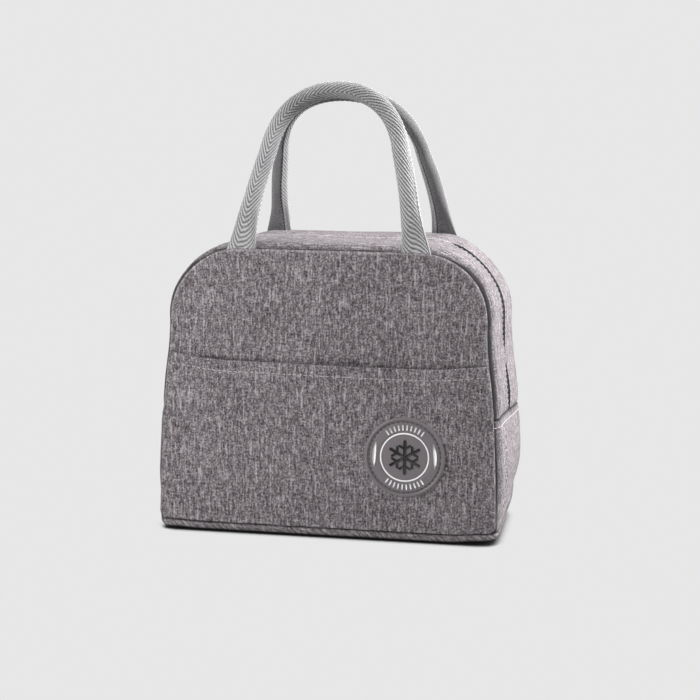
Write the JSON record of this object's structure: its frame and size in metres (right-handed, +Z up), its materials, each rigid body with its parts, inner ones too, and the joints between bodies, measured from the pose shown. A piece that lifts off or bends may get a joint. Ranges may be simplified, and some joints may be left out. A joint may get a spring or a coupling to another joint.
{
  "type": "insulated lunch bag",
  "caption": "Soft insulated lunch bag with two carrying handles, a zip-around top and a front slip pocket.",
  "frame": {"origin": "centre of the base on the floor", "axes": "+Z up, the front with the slip pocket faces -Y, +X to the right of a person looking at the front"},
  "size_m": [0.2214, 0.1358, 0.2881],
  "materials": {
    "heather_fabric": "woven, matt",
    "foam": "closed-cell foam, matt",
    "filler_cord": "matt",
    "foil_lining": "embossed foil, satin",
    "binding_tape": "woven, matt",
    "handle_webbing": "herringbone, matt",
    "zip_tape": "woven, matt",
    "zip_coil": "satin",
    "zip_metal": "satin",
    "badge_rubber": "matt"
  },
  "bodies": {
    "lower_bag": {"base_panel": "heather_fabric", "binding_front_lower": "binding_tape", "binding_rear_lower": "binding_tape", "foam_base": "foam", "foam_front_lower": "foam", "foam_rear_lower": "foam", "foam_side_left": "foam", "foam_side_right": "foam", "front_panel_lower": "heather_fabric", "front_pocket_lower": "heather_fabric", "lining_base": "foil_lining", "lining_front_lower": "foil_lining", "lining_rear_lower": "foil_lining", "lining_side_left": "foil_lining", "lining_side_right": "foil_lining", "rear_panel_lower": "heather_fabric", "round_badge": "badge_rubber", "side_panel_left": "heather_fabric", "side_panel_right": "heather_fabric", "zip_end_stop_right": "zip_metal"},
    "front_flap": {"binding_front_upper": "binding_tape", "foam_front_upper": "foam", "foam_gusset_front": "foam", "front_panel_upper": "heather_fabric", "front_pocket_upper": "heather_fabric", "lining_front_upper": "foil_lining", "lining_gusset_front": "foil_lining", "zip_coil_front": "zip_coil", "zip_gusset_front": "heather_fabric", "zip_tape_front": "zip_tape", "zip_top_stop_front": "zip_metal"},
    "rear_flap": {"binding_rear_upper": "binding_tape", "foam_gusset_rear": "foam", "foam_rear_upper": "foam", "lining_gusset_rear": "foil_lining", "lining_rear_upper": "foil_lining", "rear_panel_upper": "heather_fabric", "zip_coil_rear": "zip_coil", "zip_gusset_rear": "heather_fabric", "zip_tape_rear": "zip_tape", "zip_top_stop_rear": "zip_metal"},
    "front_handle": {"handle_webbing_front": "handle_webbing", "handle_core_front": "filler_cord"},
    "rear_handle": {"handle_webbing_rear": "handle_webbing", "handle_core_rear": "filler_cord"},
    "slider": {"zip_slider": "zip_metal"},
    "pull": {"zip_pull": "zip_metal"}
  },
  "joints": [
    {"name": "front_flap_open", "type": "hinge", "parent": "lower_bag", "child": "front_flap", "pos_m": [0, -0.0684, 0.08], "axis": [1, 0, 0], "range_deg": [0, 25]},
    {"name": "rear_flap_open", "type": "hinge", "parent": "lower_bag", "child": "rear_flap", "pos_m": [0, 0.062, 0.08], "axis": [-1, 0, 0], "range_deg": [0, 25]},
    {"name": "front_handle_swing", "type": "hinge", "parent": "front_flap", "child": "front_handle", "pos_m": [0, -0.064, 0.186], "axis": [1, 0, 0], "range_deg": [0, 150]},
    {"name": "rear_handle_swing", "type": "hinge", "parent": "rear_flap", "child": "rear_handle", "pos_m": [0, 0.064, 0.186], "axis": [-1, 0, 0], "range_deg": [0, 168]},
    {"name": "zip_slider_travel", "type": "slide", "parent": "front_flap", "child": "slider", "axis": [0.0454, 0, 0.999], "range_m": [0, 0.04]},
    {"name": "zip_pull_swing", "type": "hinge", "parent": "slider", "child": "pull", "pos_m": [-0.10966, 0, 0.09017], "axis": [0, 1, 0], "range_deg": [0, 170]}
  ]
}
